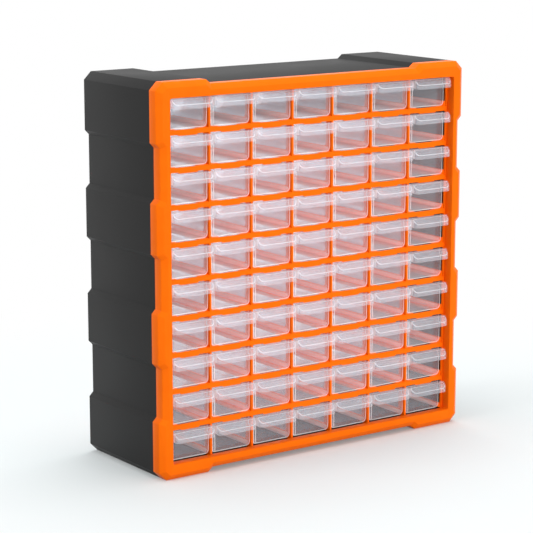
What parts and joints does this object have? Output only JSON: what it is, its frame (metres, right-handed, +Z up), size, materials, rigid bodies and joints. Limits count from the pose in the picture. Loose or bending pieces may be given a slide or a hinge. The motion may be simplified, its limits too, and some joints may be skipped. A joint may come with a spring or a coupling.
{
  "type": "parts bin cabinet",
  "caption": "Small parts cabinet: a dark lobed casing, an orange front frame with a grid of rails and posts, and clear hooded drawers that slide out to the front.",
  "frame": {"origin": "middle of the base, on the surface that the feet stand on", "axes": "+Z up, +Y from the drawers' front towards the back, +X to the right as seen from the front"},
  "size_m": [0.45, 0.162, 0.4612],
  "materials": {
    "casing_plastic": "fine-grained moulded plastic, dark charcoal",
    "frame_plastic": "smooth moulded plastic, orange",
    "drawer_plastic": "clear moulded plastic, slightly cloudy"
  },
  "bodies": {
    "cabinet": {"outer_casing": "casing_plastic", "floor_ribs": "casing_plastic", "front_bezel": "frame_plastic", "grid_posts": "frame_plastic", "cross_rails": "frame_plastic", "runner_webs": "frame_plastic", "runner_ledges": "frame_plastic", "drawer_stops": "frame_plastic"},
    "drawer_r01_c1": {"drawer_r01_c1": "drawer_plastic"},
    "drawer_r01_c2": {"drawer_r01_c2": "drawer_plastic"},
    "drawer_r01_c3": {"drawer_r01_c3": "drawer_plastic"},
    "drawer_r01_c4": {"drawer_r01_c4": "drawer_plastic"},
    "drawer_r01_c5": {"drawer_r01_c5": "drawer_plastic"},
    "drawer_r01_c6": {"drawer_r01_c6": "drawer_plastic"},
    "drawer_r01_c7": {"drawer_r01_c7": "drawer_plastic"},
    "drawer_r02_c1": {"drawer_r02_c1": "drawer_plastic"},
    "drawer_r02_c2": {"drawer_r02_c2": "drawer_plastic"},
    "drawer_r02_c3": {"drawer_r02_c3": "drawer_plastic"},
    "drawer_r02_c4": {"drawer_r02_c4": "drawer_plastic"},
    "drawer_r02_c5": {"drawer_r02_c5": "drawer_plastic"},
    "drawer_r02_c6": {"drawer_r02_c6": "drawer_plastic"},
    "drawer_r02_c7": {"drawer_r02_c7": "drawer_plastic"},
    "drawer_r03_c1": {"drawer_r03_c1": "drawer_plastic"},
    "drawer_r03_c2": {"drawer_r03_c2": "drawer_plastic"},
    "drawer_r03_c3": {"drawer_r03_c3": "drawer_plastic"},
    "drawer_r03_c4": {"drawer_r03_c4": "drawer_plastic"},
    "drawer_r03_c5": {"drawer_r03_c5": "drawer_plastic"},
    "drawer_r03_c6": {"drawer_r03_c6": "drawer_plastic"},
    "drawer_r03_c7": {"drawer_r03_c7": "drawer_plastic"},
    "drawer_r04_c1": {"drawer_r04_c1": "drawer_plastic"},
    "drawer_r04_c2": {"drawer_r04_c2": "drawer_plastic"},
    "drawer_r04_c3": {"drawer_r04_c3": "drawer_plastic"},
    "drawer_r04_c4": {"drawer_r04_c4": "drawer_plastic"},
    "drawer_r04_c5": {"drawer_r04_c5": "drawer_plastic"},
    "drawer_r04_c6": {"drawer_r04_c6": "drawer_plastic"},
    "drawer_r04_c7": {"drawer_r04_c7": "drawer_plastic"},
    "drawer_r05_c1": {"drawer_r05_c1": "drawer_plastic"},
    "drawer_r05_c2": {"drawer_r05_c2": "drawer_plastic"},
    "drawer_r05_c3": {"drawer_r05_c3": "drawer_plastic"},
    "drawer_r05_c4": {"drawer_r05_c4": "drawer_plastic"},
    "drawer_r05_c5": {"drawer_r05_c5": "drawer_plastic"},
    "drawer_r05_c6": {"drawer_r05_c6": "drawer_plastic"},
    "drawer_r05_c7": {"drawer_r05_c7": "drawer_plastic"},
    "drawer_r06_c1": {"drawer_r06_c1": "drawer_plastic"},
    "drawer_r06_c2": {"drawer_r06_c2": "drawer_plastic"},
    "drawer_r06_c3": {"drawer_r06_c3": "drawer_plastic"},
    "drawer_r06_c4": {"drawer_r06_c4": "drawer_plastic"},
    "drawer_r06_c5": {"drawer_r06_c5": "drawer_plastic"},
    "drawer_r06_c6": {"drawer_r06_c6": "drawer_plastic"},
    "drawer_r06_c7": {"drawer_r06_c7": "drawer_plastic"},
    "drawer_r07_c1": {"drawer_r07_c1": "drawer_plastic"},
    "drawer_r07_c2": {"drawer_r07_c2": "drawer_plastic"},
    "drawer_r07_c3": {"drawer_r07_c3": "drawer_plastic"},
    "drawer_r07_c4": {"drawer_r07_c4": "drawer_plastic"},
    "drawer_r07_c5": {"drawer_r07_c5": "drawer_plastic"},
    "drawer_r07_c6": {"drawer_r07_c6": "drawer_plastic"},
    "drawer_r07_c7": {"drawer_r07_c7": "drawer_plastic"},
    "drawer_row_08": {"drawer_row_08": "drawer_plastic"},
    "drawer_row_09": {"drawer_row_09": "drawer_plastic"},
    "drawer_row_10": {"drawer_row_10": "drawer_plastic"}
  },
  "joints": [
    {"name": "slide_r01_c1", "type": "slide", "parent": "cabinet", "child": "drawer_r01_c1", "axis": [0, -1, 0], "range_m": [0, 0.115]},
    {"name": "slide_r01_c2", "type": "slide", "parent": "cabinet", "child": "drawer_r01_c2", "axis": [0, -1, 0], "range_m": [0, 0.115]},
    {"name": "slide_r01_c3", "type": "slide", "parent": "cabinet", "child": "drawer_r01_c3", "axis": [0, -1, 0], "range_m": [0, 0.115]},
    {"name": "slide_r01_c4", "type": "slide", "parent": "cabinet", "child": "drawer_r01_c4", "axis": [0, -1, 0], "range_m": [0, 0.115]},
    {"name": "slide_r01_c5", "type": "slide", "parent": "cabinet", "child": "drawer_r01_c5", "axis": [0, -1, 0], "range_m": [0, 0.115]},
    {"name": "slide_r01_c6", "type": "slide", "parent": "cabinet", "child": "drawer_r01_c6", "axis": [0, -1, 0], "range_m": [0, 0.115]},
    {"name": "slide_r01_c7", "type": "slide", "parent": "cabinet", "child": "drawer_r01_c7", "axis": [0, -1, 0], "range_m": [0, 0.115]},
    {"name": "slide_r02_c1", "type": "slide", "parent": "cabinet", "child": "drawer_r02_c1", "axis": [0, -1, 0], "range_m": [0, 0.115]},
    {"name": "slide_r02_c2", "type": "slide", "parent": "cabinet", "child": "drawer_r02_c2", "axis": [0, -1, 0], "range_m": [0, 0.115]},
    {"name": "slide_r02_c3", "type": "slide", "parent": "cabinet", "child": "drawer_r02_c3", "axis": [0, -1, 0], "range_m": [0, 0.115]},
    {"name": "slide_r02_c4", "type": "slide", "parent": "cabinet", "child": "drawer_r02_c4", "axis": [0, -1, 0], "range_m": [0, 0.115]},
    {"name": "slide_r02_c5", "type": "slide", "parent": "cabinet", "child": "drawer_r02_c5", "axis": [0, -1, 0], "range_m": [0, 0.115]},
    {"name": "slide_r02_c6", "type": "slide", "parent": "cabinet", "child": "drawer_r02_c6", "axis": [0, -1, 0], "range_m": [0, 0.115]},
    {"name": "slide_r02_c7", "type": "slide", "parent": "cabinet", "child": "drawer_r02_c7", "axis": [0, -1, 0], "range_m": [0, 0.115]},
    {"name": "slide_r03_c1", "type": "slide", "parent": "cabinet", "child": "drawer_r03_c1", "axis": [0, -1, 0], "range_m": [0, 0.115]},
    {"name": "slide_r03_c2", "type": "slide", "parent": "cabinet", "child": "drawer_r03_c2", "axis": [0, -1, 0], "range_m": [0, 0.115]},
    {"name": "slide_r03_c3", "type": "slide", "parent": "cabinet", "child": "drawer_r03_c3", "axis": [0, -1, 0], "range_m": [0, 0.115]},
    {"name": "slide_r03_c4", "type": "slide", "parent": "cabinet", "child": "drawer_r03_c4", "axis": [0, -1, 0], "range_m": [0, 0.115]},
    {"name": "slide_r03_c5", "type": "slide", "parent": "cabinet", "child": "drawer_r03_c5", "axis": [0, -1, 0], "range_m": [0, 0.115]},
    {"name": "slide_r03_c6", "type": "slide", "parent": "cabinet", "child": "drawer_r03_c6", "axis": [0, -1, 0], "range_m": [0, 0.115]},
    {"name": "slide_r03_c7", "type": "slide", "parent": "cabinet", "child": "drawer_r03_c7", "axis": [0, -1, 0], "range_m": [0, 0.115]},
    {"name": "slide_r04_c1", "type": "slide", "parent": "cabinet", "child": "drawer_r04_c1", "axis": [0, -1, 0], "range_m": [0, 0.115]},
    {"name": "slide_r04_c2", "type": "slide", "parent": "cabinet", "child": "drawer_r04_c2", "axis": [0, -1, 0], "range_m": [0, 0.115]},
    {"name": "slide_r04_c3", "type": "slide", "parent": "cabinet", "child": "drawer_r04_c3", "axis": [0, -1, 0], "range_m": [0, 0.115]},
    {"name": "slide_r04_c4", "type": "slide", "parent": "cabinet", "child": "drawer_r04_c4", "axis": [0, -1, 0], "range_m": [0, 0.115]},
    {"name": "slide_r04_c5", "type": "slide", "parent": "cabinet", "child": "drawer_r04_c5", "axis": [0, -1, 0], "range_m": [0, 0.115]},
    {"name": "slide_r04_c6", "type": "slide", "parent": "cabinet", "child": "drawer_r04_c6", "axis": [0, -1, 0], "range_m": [0, 0.115]},
    {"name": "slide_r04_c7", "type": "slide", "parent": "cabinet", "child": "drawer_r04_c7", "axis": [0, -1, 0], "range_m": [0, 0.115]},
    {"name": "slide_r05_c1", "type": "slide", "parent": "cabinet", "child": "drawer_r05_c1", "axis": [0, -1, 0], "range_m": [0, 0.115]},
    {"name": "slide_r05_c2", "type": "slide", "parent": "cabinet", "child": "drawer_r05_c2", "axis": [0, -1, 0], "range_m": [0, 0.115]},
    {"name": "slide_r05_c3", "type": "slide", "parent": "cabinet", "child": "drawer_r05_c3", "axis": [0, -1, 0], "range_m": [0, 0.115]},
    {"name": "slide_r05_c4", "type": "slide", "parent": "cabinet", "child": "drawer_r05_c4", "axis": [0, -1, 0], "range_m": [0, 0.115]},
    {"name": "slide_r05_c5", "type": "slide", "parent": "cabinet", "child": "drawer_r05_c5", "axis": [0, -1, 0], "range_m": [0, 0.115]},
    {"name": "slide_r05_c6", "type": "slide", "parent": "cabinet", "child": "drawer_r05_c6", "axis": [0, -1, 0], "range_m": [0, 0.115]},
    {"name": "slide_r05_c7", "type": "slide", "parent": "cabinet", "child": "drawer_r05_c7", "axis": [0, -1, 0], "range_m": [0, 0.115]},
    {"name": "slide_r06_c1", "type": "slide", "parent": "cabinet", "child": "drawer_r06_c1", "axis": [0, -1, 0], "range_m": [0, 0.115]},
    {"name": "slide_r06_c2", "type": "slide", "parent": "cabinet", "child": "drawer_r06_c2", "axis": [0, -1, 0], "range_m": [0, 0.115]},
    {"name": "slide_r06_c3", "type": "slide", "parent": "cabinet", "child": "drawer_r06_c3", "axis": [0, -1, 0], "range_m": [0, 0.115]},
    {"name": "slide_r06_c4", "type": "slide", "parent": "cabinet", "child": "drawer_r06_c4", "axis": [0, -1, 0], "range_m": [0, 0.115]},
    {"name": "slide_r06_c5", "type": "slide", "parent": "cabinet", "child": "drawer_r06_c5", "axis": [0, -1, 0], "range_m": [0, 0.115]},
    {"name": "slide_r06_c6", "type": "slide", "parent": "cabinet", "child": "drawer_r06_c6", "axis": [0, -1, 0], "range_m": [0, 0.115]},
    {"name": "slide_r06_c7", "type": "slide", "parent": "cabinet", "child": "drawer_r06_c7", "axis": [0, -1, 0], "range_m": [0, 0.115]},
    {"name": "slide_r07_c1", "type": "slide", "parent": "cabinet", "child": "drawer_r07_c1", "axis": [0, -1, 0], "range_m": [0, 0.115]},
    {"name": "slide_r07_c2", "type": "slide", "parent": "cabinet", "child": "drawer_r07_c2", "axis": [0, -1, 0], "range_m": [0, 0.115]},
    {"name": "slide_r07_c3", "type": "slide", "parent": "cabinet", "child": "drawer_r07_c3", "axis": [0, -1, 0], "range_m": [0, 0.115]},
    {"name": "slide_r07_c4", "type": "slide", "parent": "cabinet", "child": "drawer_r07_c4", "axis": [0, -1, 0], "range_m": [0, 0.115]},
    {"name": "slide_r07_c5", "type": "slide", "parent": "cabinet", "child": "drawer_r07_c5", "axis": [0, -1, 0], "range_m": [0, 0.115]},
    {"name": "slide_r07_c6", "type": "slide", "parent": "cabinet", "child": "drawer_r07_c6", "axis": [0, -1, 0], "range_m": [0, 0.115]},
    {"name": "slide_r07_c7", "type": "slide", "parent": "cabinet", "child": "drawer_r07_c7", "axis": [0, -1, 0], "range_m": [0, 0.115]},
    {"name": "slide_row_08", "type": "slide", "parent": "cabinet", "child": "drawer_row_08", "axis": [0, -1, 0], "range_m": [0, 0.115]},
    {"name": "slide_row_09", "type": "slide", "parent": "cabinet", "child": "drawer_row_09", "axis": [0, -1, 0], "range_m": [0, 0.115]},
    {"name": "slide_row_10", "type": "slide", "parent": "cabinet", "child": "drawer_row_10", "axis": [0, -1, 0], "range_m": [0, 0.115]}
  ]
}
